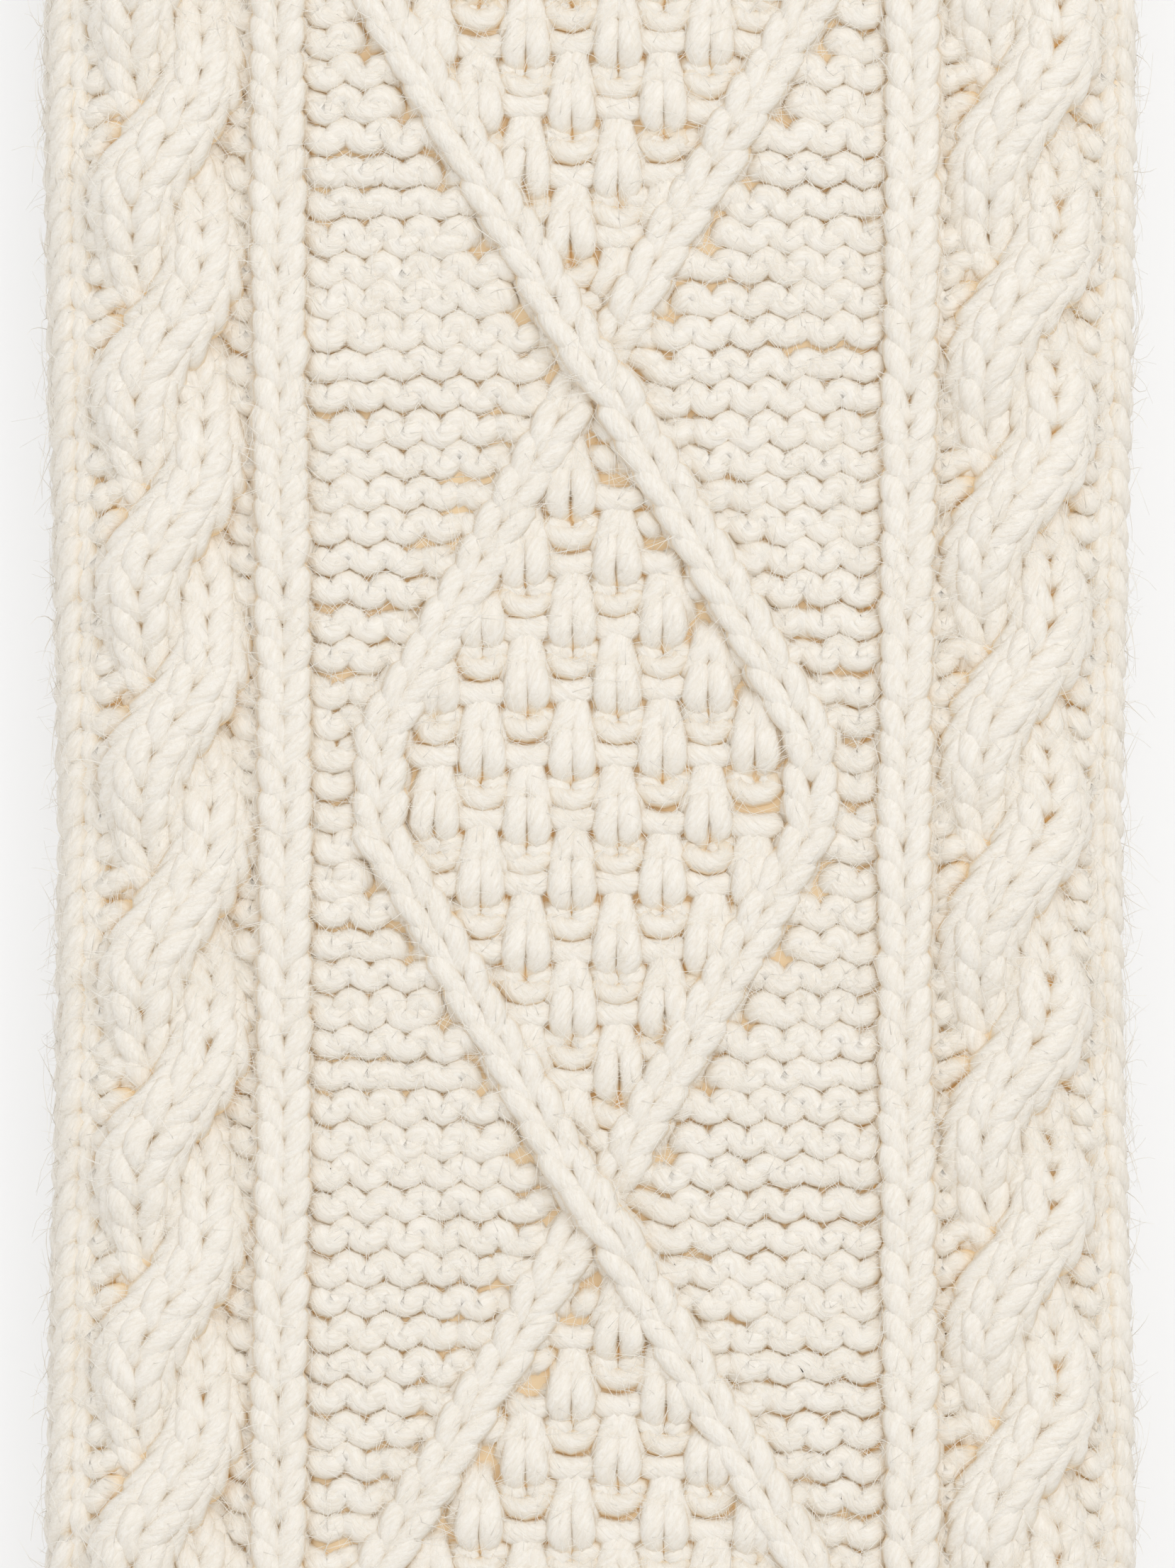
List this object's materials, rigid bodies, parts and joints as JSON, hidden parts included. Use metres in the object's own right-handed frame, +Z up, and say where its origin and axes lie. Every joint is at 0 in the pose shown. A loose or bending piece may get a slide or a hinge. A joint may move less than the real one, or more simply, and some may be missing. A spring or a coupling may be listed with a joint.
{
  "type": "pair of fingerless gloves",
  "caption": "Pair of long cable-knit fingerless gloves lying flat, with ribbed ends, short thumb tubes and open hand tubes.",
  "frame": {"origin": "bottom centre of the pair, on the surface that both gloves lie on", "axes": "+Y from the arm end to the finger end, +Z up through the backs of the hands, +X to the wearer's right"},
  "size_m": [0.264, 0.296, 0.018],
  "materials": {
    "wool_knit": "soft lofty cream wool, cabled",
    "wool_rib": "soft lofty cream wool, ribbed",
    "wool_edge": "cream wool chain edge",
    "seam_yarn": "cream linking yarn"
  },
  "bodies": {
    "left_glove": {"left_back_panel": "wool_knit", "left_palm_panel": "wool_knit", "left_wrist_rib": "wool_rib", "left_knuckle_rib": "wool_rib", "left_thumb_rib": "wool_rib", "left_cast_on_edge": "wool_edge", "left_bind_off_edge": "wool_edge", "left_thumb_edge": "wool_edge", "left_side_seam": "seam_yarn"},
    "right_glove": {"right_back_panel": "wool_knit", "right_palm_panel": "wool_knit", "right_wrist_rib": "wool_rib", "right_knuckle_rib": "wool_rib", "right_thumb_rib": "wool_rib", "right_cast_on_edge": "wool_edge", "right_bind_off_edge": "wool_edge", "right_thumb_edge": "wool_edge", "right_side_seam": "seam_yarn"}
  },
  "joints": [
    {"name": "right_glove_slide", "type": "slide", "parent": "left_glove", "child": "right_glove", "axis": [1, 0, 0], "range_m": [0, 0.12]}
  ]
}
